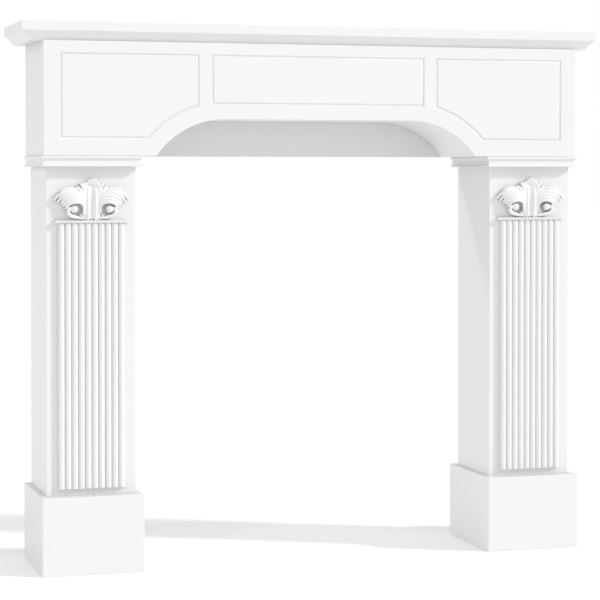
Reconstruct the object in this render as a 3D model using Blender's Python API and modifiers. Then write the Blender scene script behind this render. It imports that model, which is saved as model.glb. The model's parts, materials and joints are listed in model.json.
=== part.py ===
"""Fireplace mantelpiece with an arched frieze and two reeded pilasters.

Metres, +Z up. X runs along the wall, +Y points into the wall and the front faces -Y. The origin is on
the floor, in the middle of the width and of the depth. Boards are joined into hollow boxes that are
open towards the wall, as a joiner builds a painted surround.
"""

import math

import bmesh
import bpy
from mathutils import Vector

# Overall sizes
MANTEL_HEIGHT = 1.226
OPENING_WIDTH = 0.852
OPENING_HEIGHT = 0.930
BOARD = 0.018
FIT = 0.0003

# Shelf
SHELF_EDGE = 0.0205
SHELF_COVE_DROP = 0.0205
SHELF_COVE_RUN_END = 0.021
SHELF_COVE_RUN_FRONT = 0.0165
SHELF_COVE_HOLLOW = 0.45
SHELF_COVE_STEPS = 5
SHELF_END_OVERHANG = 0.049
SHELF_FRONT_OVERHANG = 0.0105

# Frieze, its arch and its lined panels
FRIEZE_END_REVEAL = 0.008
FRIEZE_FRONT_REVEAL = 0.0205
FRIEZE_FRONT_BOARD = 0.022
ARCH_RISE = 0.083
ARCH_RADIUS = 0.198
ARCH_SHOULDER = 0.0433
ARCH_STEPS = 14
BACK_PANEL_THICKNESS = 0.012
GROOVE_WIDTH = 0.007
GROOVE_DEPTH = 0.0028
CENTRE_PANEL_LENGTH = 0.512
CENTRE_PANEL_RISE = 0.0315
PANEL_GAP = 0.027
PANEL_END_MARGIN = 0.0355
PANEL_TOP_MARGIN = 0.0255
PANEL_BOTTOM_MARGIN = 0.0365
PANEL_ARCH_MARGIN = 0.0365

# Pilasters and plinths
PILASTER_WIDTH = 0.203
PILASTER_FRONT = 0.224
PILASTER_WALL_GAP = 0.022
PLINTH_HEIGHT = 0.174
PLINTH_SIDE_REVEAL = 0.013
PLINTH_FRONT_REVEAL = 0.030

# Capitals
CAPITAL_HEIGHT = 0.024
CAPITAL_SIDE_REVEAL = 0.0120
CAPITAL_FRONT_REVEAL = 0.0210
CAPITAL_FOOT = 0.0022
CAPITAL_NECK_HEIGHT = 0.0143
CAPITAL_NECK_DEPTH = 0.0046
CAPITAL_LIP = 0.0055
CAPITAL_COVE_STEPS = 5

# Reeded boards
REED_COUNT = 10
REED_PITCH = 0.0151
REED_RISE = 0.0064
REED_GROUND = 0.0040
REED_FOOT_CLEARANCE = 0.015
REED_STEPS = 8

# Beaded ledges
LEDGE_DROP = 0.1225
LEDGE_HEIGHT = 0.0064
LEDGE_LENGTH = 0.167
LEDGE_PROUD = 0.0112
BEAD_COUNT = 29
BEAD_RADIUS = 0.0030
BEAD_WAIST = 0.0013
BEAD_STEPS = 4
BEAD_SIDES = 6

# Carved ornaments
ORNAMENT_WIDTH = 0.170
ORNAMENT_HEIGHT = 0.0955
ORNAMENT_PROUD = 0.024
ORNAMENT_LIFT = 0.0006
ORNAMENT_VOXEL = 0.0017
ORNAMENT_KEEP = 0.106
FLUTE_STEP = 0.004
FLUTE_SIDES = 10
FLUTE_FOOT = 0.75

# Worked out from the sizes above
PILASTER_CENTRE = (OPENING_WIDTH + PILASTER_WIDTH) / 2
FRIEZE_LENGTH = OPENING_WIDTH + 2 * (PILASTER_WIDTH + FRIEZE_END_REVEAL)
SHELF_LENGTH = FRIEZE_LENGTH + 2 * SHELF_END_OVERHANG
FRIEZE_DEPTH = PILASTER_FRONT + FRIEZE_FRONT_REVEAL
SHELF_DEPTH = FRIEZE_DEPTH + SHELF_FRONT_OVERHANG
SHELF_BOTTOM = MANTEL_HEIGHT - SHELF_EDGE - SHELF_COVE_DROP
FRIEZE_TOP = SHELF_BOTTOM - FIT
ARCH_TOP = OPENING_HEIGHT + ARCH_RISE
ARCH_CENTRE_Z = ARCH_TOP - ARCH_RADIUS
ARCH_RUN = math.sqrt(ARCH_RADIUS**2 - (ARCH_RADIUS - ARCH_RISE) ** 2)
ARCH_CENTRE_X = OPENING_WIDTH / 2 - ARCH_SHOULDER - ARCH_RUN
CAPITAL_TOP = OPENING_HEIGHT - FIT
CAPITAL_BOTTOM = CAPITAL_TOP - CAPITAL_HEIGHT
PILASTER_BOTTOM = PLINTH_HEIGHT + FIT
PILASTER_TOP = CAPITAL_BOTTOM - FIT
LEDGE_CENTRE_Z = CAPITAL_BOTTOM - LEDGE_DROP
REEDS_BOTTOM = PILASTER_BOTTOM + REED_FOOT_CLEARANCE
REEDS_TOP = LEDGE_CENTRE_Z - LEDGE_HEIGHT / 2 - FIT
ORNAMENT_BOTTOM = LEDGE_CENTRE_Z + BEAD_RADIUS + ORNAMENT_LIFT
WALL_Y = SHELF_DEPTH / 2
PILASTER_Y = WALL_Y - PILASTER_FRONT
PLANTED_Y = PILASTER_Y - FIT

# A flute of the carving is a row of places along its crest. Each place says how far out and up it is, how
# far the crest stands proud, and half the flute's width. They are shares of an ornament of CARVING_GAUGE,
# given as width, height and projection, and they stretch with the real ornament.
CARVING_GAUGE = (170.0, 95.5, 24.0)
CENTRE_FLUTES = (
    ((0, 0, 9, 3.6), (0, 10, 9.5, 3.4), (0, 30, 9.5, 3.2), (0, 60, 9.5, 3.2), (0, 77, 9.5, 3)),
    ((0, 77, 9, 6), (0, 84, 14, 7), (0, 90, 16, 6.5)),
)
SIDE_FLUTES = (
    ((5, 1, 10.5, 3), (5.2, 30, 11.5, 3), (5.2, 58, 11.5, 3), (5, 76, 10.5, 2.6)),
    ((8.8, -0.4, 11, 3.4), (8.6, 11, 14, 3.1), (9, 31, 15.5, 3), (9, 53, 14.5, 3), (8.2, 74, 12, 2.6)),
    ((15.5, 0, 9, 3.2), (13, 10, 12, 3), (12.6, 31, 13.5, 2.8), (12.6, 50, 13.5, 3),
     (14, 66, 12.5, 3.2), (16, 80, 14, 3.4), (16.6, 85, 12.5, 2.8)),
    ((18, 4, 8, 3), (16, 15, 11.5, 3), (15.6, 33, 13.5, 3), (15.6, 52, 13.5, 3.4),
     (18.4, 69, 14, 4), (23.4, 79.5, 15, 4), (25.6, 82.6, 13, 3.4)),
    ((16.5, 13, 10, 2.8), (16.8, 27, 13, 3), (18, 43, 14.5, 3.6), (22, 59.5, 14.5, 4.2),
     (29, 70, 14, 4.2), (35, 75, 12, 3.4)),
    ((2.6, 78, 12, 3), (3.4, 86, 17, 3.6), (3.8, 92.4, 18.5, 3.4)),
    ((5.5, 76, 10, 2.4), (7.2, 84, 14.5, 3), (8.8, 90.4, 17.5, 3.4)),
    ((17, 26, 14, 2.6), (21.5, 35, 18, 3.1), (30, 40, 21, 3.6), (40, 40.2, 22.5, 3.8),
     (49.5, 37.2, 21.5, 3.8), (56.6, 31.2, 18.5, 3.4), (60.4, 25.4, 14, 2.6)),
    ((16, 32, 13.5, 3.2), (21, 41.5, 17, 4), (31, 47.2, 20, 4.6), (43, 47, 21.5, 4.8),
     (54, 42.6, 20, 4.6), (61.6, 36, 16, 4), (65, 30.5, 11, 2.8)),
    ((15.8, 38, 13, 3.2), (20.5, 47.6, 16, 4.2), (31, 54, 18.5, 4.8), (44.5, 54.2, 20, 5.2),
     (57, 50, 19, 5.2), (65.8, 42.8, 15, 4.6), (70, 35.2, 9, 3.2)),
    ((16.5, 44, 12.5, 3.2), (22, 54, 15, 4.2), (32.5, 60.4, 17, 4.8), (46, 61, 18.5, 5.2),
     (60, 57.4, 18, 5.4), (70.6, 50, 15, 5), (76.4, 41.8, 10, 3.8), (77, 37.8, 7, 3)),
    ((30, 61.6, 12, 3.2), (40, 65.2, 14, 4), (52, 65.4, 15.5, 4.4), (65, 61.8, 15.5, 4.6),
     (75.4, 55.6, 13, 4.6), (81.4, 48.2, 9.5, 3.6), (81.8, 43.4, 7, 3)),
    ((26, 62, 11, 3.2), (36, 68.2, 13.5, 4), (48, 69.8, 15, 4.2), (59, 69.2, 15, 4.4),
     (66.4, 65.8, 13, 4), (70, 61.6, 9, 3.2)),
    ((13, 23.5, 11, 2), (18.5, 27.6, 13, 2.2), (23, 30.4, 12.5, 1.6)),
    ((12.5, 16, 11, 2), (18, 20.6, 13, 2.2), (23, 23.4, 12.5, 1.6)),
    ((15, 8.8, 9, 2), (21.5, 12.8, 12, 2.2), (27.4, 16, 11.5, 1.6)),
    ((15, 3.4, 8, 3), (26, 5.6, 11, 3.7), (38, 7.8, 13.5, 4.3), (48, 11, 15.5, 4.8),
     (53.4, 17.4, 17, 4.6), (52.6, 24, 18, 4.2), (49, 28.4, 18.2, 3.4)),
    ((35, 24.4, 17.6, 7.6), (40, 25, 19.2, 8.8), (45, 24.6, 17.6, 7.8)),
)


def painted(name, grey, roughness):
    """Satin paint in one grey."""
    material = bpy.data.materials.new(name)
    material.use_nodes = True
    shader = material.node_tree.nodes["Principled BSDF"]
    shader.inputs["Base Color"].default_value = (grey, grey, grey * 0.99, 1.0)
    shader.inputs["Roughness"].default_value = roughness
    shader.inputs["Metallic"].default_value = 0.0
    material.diffuse_color = (grey, grey, grey * 0.99, 1.0)
    return material


def add_object(name, mesh, collection, parent=None):
    """Link a mesh as a named object."""
    obj = bpy.data.objects.new(name, mesh)
    collection.objects.link(obj)
    obj.parent = parent
    return obj


def finish(obj, material):
    """Give a piece its material."""
    obj.data.materials.clear()
    obj.data.materials.append(material)
    return obj


def as_cutter(obj):
    """Keep a cutter out of the model."""
    obj.hide_render = True
    obj.display_type = "WIRE"
    return obj


def subtract(obj, cutter):
    """Cut one closed solid out of another."""
    modifier = obj.modifiers.new(f"cut_{cutter.name}", "BOOLEAN")
    modifier.operation = "DIFFERENCE"
    modifier.solver = "EXACT"
    modifier.object = cutter


def unite(obj, other):
    """Join one closed solid to another."""
    modifier = obj.modifiers.new(f"join_{other.name}", "BOOLEAN")
    modifier.operation = "UNION"
    modifier.solver = "EXACT"
    modifier.object = other


def slab(name, outline, thickness, collection, parent=None):
    """Mesh plate from a flat outline, half its thickness on each side of its own XY plane."""
    curve = bpy.data.curves.new(name, "CURVE")
    curve.dimensions = "2D"
    curve.fill_mode = "BOTH"
    curve.extrude = thickness / 2
    spline = curve.splines.new("POLY")
    spline.points.add(len(outline) - 1)
    for point, (x, y) in zip(spline.points, outline):
        point.co = (x, y, 0.0, 1.0)
    spline.use_cyclic_u = True
    flat = bpy.data.objects.new(name + "_outline", curve)
    collection.objects.link(flat)
    evaluated = flat.evaluated_get(bpy.context.evaluated_depsgraph_get())
    mesh = bpy.data.meshes.new_from_object(evaluated)
    bpy.data.objects.remove(flat)
    mesh.name = name
    welded = bmesh.new()
    welded.from_mesh(mesh)
    bmesh.ops.remove_doubles(welded, verts=welded.verts, dist=0.00001)
    bmesh.ops.recalc_face_normals(welded, faces=welded.faces)
    welded.to_mesh(mesh)
    welded.free()
    return add_object(name, mesh, collection, parent)


def upright_slab(name, outline, front, back, collection):
    """Plate whose outline stands in the XZ plane, from one depth to another."""
    plate = slab(name, outline, back - front, collection)
    plate.rotation_euler = (math.pi / 2, 0.0, 0.0)
    plate.location = (0.0, (front + back) / 2, 0.0)
    return plate


def level_slab(name, outline, bottom, top, collection, parent=None):
    """Plate whose outline lies in the XY plane, from one height to another."""
    plate = slab(name, outline, top - bottom, collection, parent)
    plate.location = (0.0, 0.0, (bottom + top) / 2)
    return plate


def box(name, low, high, collection, parent=None):
    """Rectangular block between two corners."""
    size = Vector(high) - Vector(low)
    block = bmesh.new()
    bmesh.ops.create_cube(block, size=1.0)
    bmesh.ops.scale(block, vec=size, verts=block.verts)
    mesh = bpy.data.meshes.new(name)
    block.to_mesh(mesh)
    block.free()
    obj = add_object(name, mesh, collection, parent)
    obj.location = (Vector(high) + Vector(low)) / 2
    return obj


def add_loft(target, rings, closed=False):
    """Skin a row of equal rings of points. Open lofts are capped, closed ones join end to start."""
    loops = [[target.verts.new(point) for point in ring] for ring in rings]
    spans = list(zip(loops, loops[1:] + loops[:1])) if closed else list(zip(loops, loops[1:]))
    for first, second in spans:
        count = len(first)
        for i in range(count):
            j = (i + 1) % count
            target.faces.new((first[i], first[j], second[j], second[i]))
    if not closed:
        target.faces.new(loops[0])
        target.faces.new(loops[-1])


def loft(name, rings, collection, parent=None, closed=False):
    """Solid skinned over a row of rings."""
    skin = bmesh.new()
    add_loft(skin, rings, closed)
    bmesh.ops.recalc_face_normals(skin, faces=skin.faces)
    mesh = bpy.data.meshes.new(name)
    skin.to_mesh(mesh)
    skin.free()
    return add_object(name, mesh, collection, parent)


def arc(centre_x, centre_z, radius, start, end, steps):
    """Points on an arc in the XZ plane, from one angle to another."""
    angles = [start + (end - start) * i / steps for i in range(steps + 1)]
    return [(centre_x + radius * math.cos(a), centre_z + radius * math.sin(a)) for a in angles]


def arch_outline(offset, bottom):
    """The arched cut-out from its right foot over to its left foot, moved out by an offset."""
    radius = ARCH_RADIUS + offset
    foot = math.asin((bottom - ARCH_CENTRE_Z) / radius)
    right = arc(ARCH_CENTRE_X, ARCH_CENTRE_Z, radius, foot, math.pi / 2, ARCH_STEPS)
    return right + [(-x, z) for x, z in reversed(right)]


def framed_arch(half_length, bottom, top, offset):
    """Rectangle with the arch cut out of its lower side."""
    corners = [(-half_length, bottom), (-half_length, top), (half_length, top), (half_length, bottom)]
    return corners + arch_outline(offset, bottom)


def shelf_ring(inset_end, inset_front, z):
    """Plan of the shelf at one height."""
    half = SHELF_LENGTH / 2 - inset_end
    front = WALL_Y - SHELF_DEPTH + inset_front
    return [(-half, front, z), (half, front, z), (half, WALL_Y, z), (-half, WALL_Y, z)]


def mantel_shelf(collection, material):
    """Board with a square edge over a slightly hollow slope on three sides."""
    rings = [shelf_ring(0.0, 0.0, MANTEL_HEIGHT)]
    for i in range(SHELF_COVE_STEPS + 1):
        share = i / SHELF_COVE_STEPS
        drawn_in = share * (1 + SHELF_COVE_HOLLOW * (1 - share))
        z = SHELF_BOTTOM + SHELF_COVE_DROP * (1 - share)
        rings.append(shelf_ring(SHELF_COVE_RUN_END * drawn_in, SHELF_COVE_RUN_FRONT * drawn_in, z))
    return finish(loft("mantel_shelf", rings, collection), material)


def centre_panel(inset):
    """Outline of the middle lined panel, drawn in by an inset."""
    half = CENTRE_PANEL_LENGTH / 2 - inset
    bottom = ARCH_TOP + CENTRE_PANEL_RISE + inset
    top = FRIEZE_TOP - PANEL_TOP_MARGIN - inset
    return [(-half, bottom), (half, bottom), (half, top), (-half, top)]


def side_panel(inset, side):
    """Outline of an outer lined panel: a rectangle whose inner lower corner follows the arch."""
    inner = CENTRE_PANEL_LENGTH / 2 + PANEL_GAP + inset
    outer = FRIEZE_LENGTH / 2 - PANEL_END_MARGIN - inset
    bottom = OPENING_HEIGHT + PANEL_BOTTOM_MARGIN + inset
    top = FRIEZE_TOP - PANEL_TOP_MARGIN - inset
    radius = ARCH_RADIUS + PANEL_ARCH_MARGIN + inset
    start = math.asin((bottom - ARCH_CENTRE_Z) / radius)
    end = math.acos((inner - ARCH_CENTRE_X) / radius)
    curve = arc(ARCH_CENTRE_X, ARCH_CENTRE_Z, radius, start, end, ARCH_STEPS)
    points = [(outer, top), (outer, bottom)] + curve + [(inner, top)]
    return [(side * x, z) for x, z in points]


def groove_cutter(name, outline_at, collection):
    """V-shaped ring that cuts a line along an outline in the frieze's face."""
    front = WALL_Y - FRIEZE_DEPTH
    reach = GROOVE_DEPTH
    half = GROOVE_WIDTH / 2 * (1 + reach / GROOVE_DEPTH)
    depths = ((-half, front - reach), (0.0, front + GROOVE_DEPTH), (half, front - reach))
    rings = [[(x, y, z) for x, z in outline_at(inset)] for inset, y in depths]
    return as_cutter(loft(name, rings, collection, closed=True))


def frieze(collection, cutters, material):
    """Hollow box over the opening, arched below and open towards the wall."""
    front = WALL_Y - FRIEZE_DEPTH
    outline = framed_arch(FRIEZE_LENGTH / 2, OPENING_HEIGHT, FRIEZE_TOP, 0.0)
    body = upright_slab("frieze", outline, front, WALL_Y, collection)
    hollow = framed_arch(
        FRIEZE_LENGTH / 2 - BOARD, OPENING_HEIGHT + BOARD, FRIEZE_TOP - BOARD, BOARD
    )
    cavity = upright_slab("frieze_cavity", hollow, front + FRIEZE_FRONT_BOARD, WALL_Y + BOARD, cutters)
    subtract(body, as_cutter(cavity))
    subtract(body, groove_cutter("centre_panel_line", centre_panel, cutters))
    subtract(body, groove_cutter("right_panel_line", lambda inset: side_panel(inset, 1), cutters))
    subtract(body, groove_cutter("left_panel_line", lambda inset: side_panel(inset, -1), cutters))
    return finish(body, material)


def arch_back_panel(collection, material):
    """Thin board that closes the arch recess at the wall."""
    outline = arch_outline(-FIT, OPENING_HEIGHT)
    panel = upright_slab("arch_back_panel", outline, WALL_Y - BACK_PANEL_THICKNESS, WALL_Y, collection)
    return finish(panel, material)


def capital_profile():
    """Height above the foot and inset from the lip, from the foot up to the lip."""
    points = [(0.0, CAPITAL_FOOT / 4)]
    rise = CAPITAL_NECK_HEIGHT - CAPITAL_FOOT
    for i in range(CAPITAL_COVE_STEPS + 1):
        turn = math.pi / 2 * i / CAPITAL_COVE_STEPS
        points.append((CAPITAL_FOOT + rise * (1 - math.cos(turn)), CAPITAL_NECK_DEPTH * math.sin(turn)))
    points.append((CAPITAL_HEIGHT - CAPITAL_LIP, 0.0))
    points.append((CAPITAL_HEIGHT, 0.0))
    return points


def capital(name, collection, parent, material):
    """Moulded block: a lip, a hollow neck and a small foot on the front and both sides."""
    rings = []
    for height, inset in capital_profile():
        half = PILASTER_WIDTH / 2 + CAPITAL_SIDE_REVEAL - inset
        front = PILASTER_Y - CAPITAL_FRONT_REVEAL + inset
        z = CAPITAL_BOTTOM + height
        rings.append([(-half, front, z), (half, front, z), (half, WALL_Y, z), (-half, WALL_Y, z)])
    return finish(loft(name, rings, collection, parent), material)


def pilaster(name, collection, parent, material):
    """Front board and two side boards, open towards the wall."""
    half = PILASTER_WIDTH / 2
    back = WALL_Y - PILASTER_WALL_GAP
    inner = half - BOARD
    plan = [
        (-half, back),
        (-half, PILASTER_Y),
        (half, PILASTER_Y),
        (half, back),
        (inner, back),
        (inner, PILASTER_Y + BOARD),
        (-inner, PILASTER_Y + BOARD),
        (-inner, back),
    ]
    return finish(level_slab(name, plan, PILASTER_BOTTOM, PILASTER_TOP, collection, parent), material)


def reeded_panel(name, collection, parent, material):
    """Planted board whose face is a row of half-round reeds."""
    half = REED_COUNT * REED_PITCH / 2
    plan = [(-half, PLANTED_Y), (-half, PLANTED_Y - REED_GROUND)]
    for reed in range(REED_COUNT):
        middle = -half + (reed + 0.5) * REED_PITCH
        for i in range(1, REED_STEPS + (reed == REED_COUNT - 1)):
            turn = math.pi * i / REED_STEPS
            x = middle - REED_PITCH / 2 * math.cos(turn)
            plan.append((x, PLANTED_Y - REED_GROUND - REED_RISE * math.sin(turn)))
        if reed < REED_COUNT - 1:
            plan.append((middle + REED_PITCH / 2, PLANTED_Y - REED_GROUND))
    plan.append((half, PLANTED_Y))
    return finish(level_slab(name, plan, REEDS_BOTTOM, REEDS_TOP, collection, parent), material)


def bead_ledge(name, collection, cutters, parent, material):
    """Small shelf with a row of beads along its front edge."""
    half = LEDGE_LENGTH / 2
    low = (-half, PLANTED_Y - LEDGE_PROUD, LEDGE_CENTRE_Z - LEDGE_HEIGHT / 2)
    high = (half, PLANTED_Y, LEDGE_CENTRE_Z + LEDGE_HEIGHT / 2)
    ledge = box(name, low, high, collection, parent)
    pitch = LEDGE_LENGTH / BEAD_COUNT
    rings = []
    for i in range(BEAD_COUNT * BEAD_STEPS + 1):
        along = math.pi * i / BEAD_STEPS
        radius = BEAD_WAIST + (BEAD_RADIUS - BEAD_WAIST) * abs(math.sin(along))
        x = -half + pitch * i / BEAD_STEPS
        turns = [2 * math.pi * (k + 0.5) / BEAD_SIDES for k in range(BEAD_SIDES)]
        rings.append([(x, radius * math.cos(a), radius * math.sin(a)) for a in turns])
    beads = loft(name + "_beads", rings, cutters, parent)
    beads.location = (0.0, low[1], LEDGE_CENTRE_Z)
    unite(ledge, as_cutter(beads))
    return finish(ledge, material)


def along_flute(flute, share):
    """The four values at one share of the way along a flute, on a smooth curve through its places."""
    spans = len(flute) - 1
    index = min(int(share * spans), spans - 1)
    t = share * spans - index
    a, b, c, d = [Vector(flute[max(0, min(spans, index + k))]) for k in (-1, 0, 1, 2)]
    return (b * 2 + (c - a) * t + (a * 2 - b * 5 + c * 4 - d) * t**2 + (b * 3 - a - c * 3 + d) * t**3) / 2


def flute_section(flute, share, side):
    """Ring of points across a flute: round above, and drawn in a little at its flat foot."""
    wide, high, proud = CARVING_GAUGE
    out, up, crest, half = along_flute(flute, share)
    ahead = along_flute(flute, min(1.0, share + 0.01)) - along_flute(flute, max(0.0, share - 0.01))
    across = Vector((-ahead[1], ahead[0])).normalized()
    end = max(0.0, (abs(share - 0.5) - 0.42) / 0.08)
    swell = math.sqrt(max(0.1, 1 - 0.9 * end**2))
    top = crest * (0.55 + 0.45 * swell)
    dome = min(half * swell, top)
    ring = []
    for k in range(FLUTE_SIDES):
        turn = 2 * math.pi * (k + 0.5) / FLUTE_SIDES
        above = math.sin(turn) > 0
        reach = half * swell * math.cos(turn) * (1.0 if above else FLUTE_FOOT)
        height = top - dome * (1 - math.sin(turn)) if above else 0.0
        x = side * (out + across.x * reach) * ORNAMENT_WIDTH / wide
        z = (up + across.y * reach) * ORNAMENT_HEIGHT / high
        ring.append((x, -height * ORNAMENT_PROUD / proud, z))
    return ring


def add_flute(carving, flute, side):
    """Sweep one flute."""
    length = sum((Vector(a[:2]) - Vector(b[:2])).length for a, b in zip(flute, flute[1:]))
    count = max(5, round(length / CARVING_GAUGE[0] * ORNAMENT_WIDTH / FLUTE_STEP))
    add_loft(carving, [flute_section(flute, i / count, side) for i in range(count + 1)])


def ornament(name, collection, parent, material):
    """Acanthus with two volutes: overlapping flutes merged into one carved body."""
    carving = bmesh.new()
    for flute in CENTRE_FLUTES:
        add_flute(carving, flute, 1)
    for side in (-1, 1):
        for flute in SIDE_FLUTES:
            add_flute(carving, flute, side)
    bmesh.ops.recalc_face_normals(carving, faces=carving.faces)
    mesh = bpy.data.meshes.new(name)
    carving.to_mesh(mesh)
    carving.free()
    obj = add_object(name, mesh, collection, parent)
    obj.location = (0.0, PLANTED_Y, ORNAMENT_BOTTOM)
    merge = obj.modifiers.new("merge_flutes", "REMESH")
    merge.mode = "VOXEL"
    merge.voxel_size = ORNAMENT_VOXEL
    thin = obj.modifiers.new("fewer_faces", "DECIMATE")
    thin.ratio = ORNAMENT_KEEP
    return finish(obj, material)


def plinth(name, collection, cutters, parent, material):
    """Plain block of boards, hollow and open towards the wall."""
    half = PILASTER_WIDTH / 2 + PLINTH_SIDE_REVEAL
    front = PILASTER_Y - PLINTH_FRONT_REVEAL
    block = box(name, (-half, front, 0.0), (half, WALL_Y, PLINTH_HEIGHT), collection, parent)
    low = (-half + BOARD, front + BOARD, BOARD)
    high = (half - BOARD, WALL_Y + BOARD, PLINTH_HEIGHT - BOARD)
    subtract(block, as_cutter(box(name + "_cavity", low, high, cutters, parent)))
    return finish(block, material)


def pilaster_assembly(prefix, side, collection, cutters, paint, carving_paint):
    """Everything that stands on one side of the opening, under an empty at its centre line."""
    axis = bpy.data.objects.new(prefix + "_axis", None)
    axis.location = (side * PILASTER_CENTRE, 0.0, 0.0)
    collection.objects.link(axis)
    plinth(prefix + "_plinth", collection, cutters, axis, paint)
    pilaster(prefix + "_pilaster", collection, axis, paint)
    capital(prefix + "_capital", collection, axis, paint)
    reeded_panel(prefix + "_reeded_panel", collection, axis, paint)
    bead_ledge(prefix + "_bead_ledge", collection, cutters, axis, carving_paint)
    ornament(prefix + "_ornament", collection, axis, carving_paint)


def new_collection(name):
    """Collection linked to the scene."""
    collection = bpy.data.collections.new(name)
    bpy.context.scene.collection.children.link(collection)
    return collection


def build():
    """Clear the scene and build the mantelpiece."""
    for obj in list(bpy.data.objects):
        bpy.data.objects.remove(obj)
    pieces = new_collection("fireplace_mantelpiece")
    cutters = new_collection("cutters")
    paint = painted("satin_paint", 0.88, 0.42)
    carving_paint = painted("carving_paint", 0.90, 0.45)
    back_paint = painted("back_board_paint", 0.86, 0.5)
    mantel_shelf(pieces, paint)
    frieze(pieces, cutters, paint)
    arch_back_panel(pieces, back_paint)
    for prefix, side in (("left", -1), ("right", 1)):
        pilaster_assembly(prefix, side, pieces, cutters, paint, carving_paint)


build()
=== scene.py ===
"""A painted fireplace mantelpiece: shelf, arched frieze, reeded pilasters and carved ornaments."""

import json
import logging
import math
from dataclasses import dataclass, field
from enum import Enum
from typing import Any, Callable, Iterable, Sequence

import bmesh
import bpy
from mathutils import Matrix, Vector

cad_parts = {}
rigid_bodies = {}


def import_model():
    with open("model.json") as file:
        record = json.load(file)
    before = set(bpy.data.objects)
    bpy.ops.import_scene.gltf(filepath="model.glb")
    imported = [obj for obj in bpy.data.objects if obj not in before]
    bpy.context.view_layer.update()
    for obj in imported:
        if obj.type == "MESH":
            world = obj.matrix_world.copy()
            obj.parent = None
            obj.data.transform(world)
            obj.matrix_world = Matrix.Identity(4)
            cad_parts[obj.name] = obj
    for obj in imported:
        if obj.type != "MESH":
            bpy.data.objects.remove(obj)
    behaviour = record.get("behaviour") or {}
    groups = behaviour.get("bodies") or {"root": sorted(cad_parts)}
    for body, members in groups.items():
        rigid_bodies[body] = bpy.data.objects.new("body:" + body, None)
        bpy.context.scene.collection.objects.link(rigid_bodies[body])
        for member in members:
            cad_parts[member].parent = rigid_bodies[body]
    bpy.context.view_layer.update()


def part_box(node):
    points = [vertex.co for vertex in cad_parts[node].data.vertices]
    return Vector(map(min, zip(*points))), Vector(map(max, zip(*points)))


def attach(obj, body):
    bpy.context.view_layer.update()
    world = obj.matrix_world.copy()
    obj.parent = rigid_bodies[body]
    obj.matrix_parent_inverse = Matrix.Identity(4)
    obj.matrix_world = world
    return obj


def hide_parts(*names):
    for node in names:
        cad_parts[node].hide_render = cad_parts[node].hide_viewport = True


LOG = logging.getLogger("mantelpiece")
BODY = "root"
FIT = 0.0003
FACING = 0.9
SHARP_EDGE = math.radians(38)
REAL_CORNER = math.radians(25)
MERGE_DISTANCE = 1e-6
EASE_SEGMENTS = 3
TOUCH = 0.001
UNSTRETCHED = (1.0, 1.0, 1.0)
Point = tuple[float, float]
Triple = tuple[float, float, float]


class Stroke(Enum):
    """The way a board was painted, as stretch factors of the brush pattern along X, Y and Z."""

    ALONG_X = (5.0, 90.0, 90.0)
    ALONG_Z = (90.0, 90.0, 5.0)
    DABBED = (60.0, 60.0, 60.0)


class Side(Enum):
    """The side of the opening that a pilaster stands on."""

    LEFT = -1
    RIGHT = 1

    @property
    def prefix(self) -> str:
        """The first word of the names of this side's pieces."""
        return self.name.lower()


class Wire:
    """An output socket that can be used in arithmetic, which adds the Math nodes it needs."""

    def __init__(self, tree: "ShaderTree", socket: bpy.types.NodeSocket) -> None:
        """Keep the socket and the tree it belongs to.

        Args:
            tree: the tree that new nodes go into.
            socket: the output that this wire carries.
        """
        self.tree = tree
        self.socket = socket

    def maths(self, operation: str, first: Any, second: Any) -> "Wire":
        """Add one Math node.

        Args:
            operation: the node's operation.
            first: a wire or a number.
            second: a wire or a number.

        Returns:
            The node's result.
        """
        return self.tree.wire("ShaderNodeMath", {"operation": operation}, {0: first, 1: second})

    def __add__(self, other: Any) -> "Wire":
        """This plus other."""
        return self.maths("ADD", self, other)

    def __radd__(self, other: Any) -> "Wire":
        """Other plus this."""
        return self.maths("ADD", other, self)

    def __sub__(self, other: Any) -> "Wire":
        """This minus other."""
        return self.maths("SUBTRACT", self, other)

    def __rsub__(self, other: Any) -> "Wire":
        """Other minus this."""
        return self.maths("SUBTRACT", other, self)

    def __mul__(self, other: Any) -> "Wire":
        """This times other."""
        return self.maths("MULTIPLY", self, other)

    def __rmul__(self, other: Any) -> "Wire":
        """Other times this."""
        return self.maths("MULTIPLY", other, self)


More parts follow.
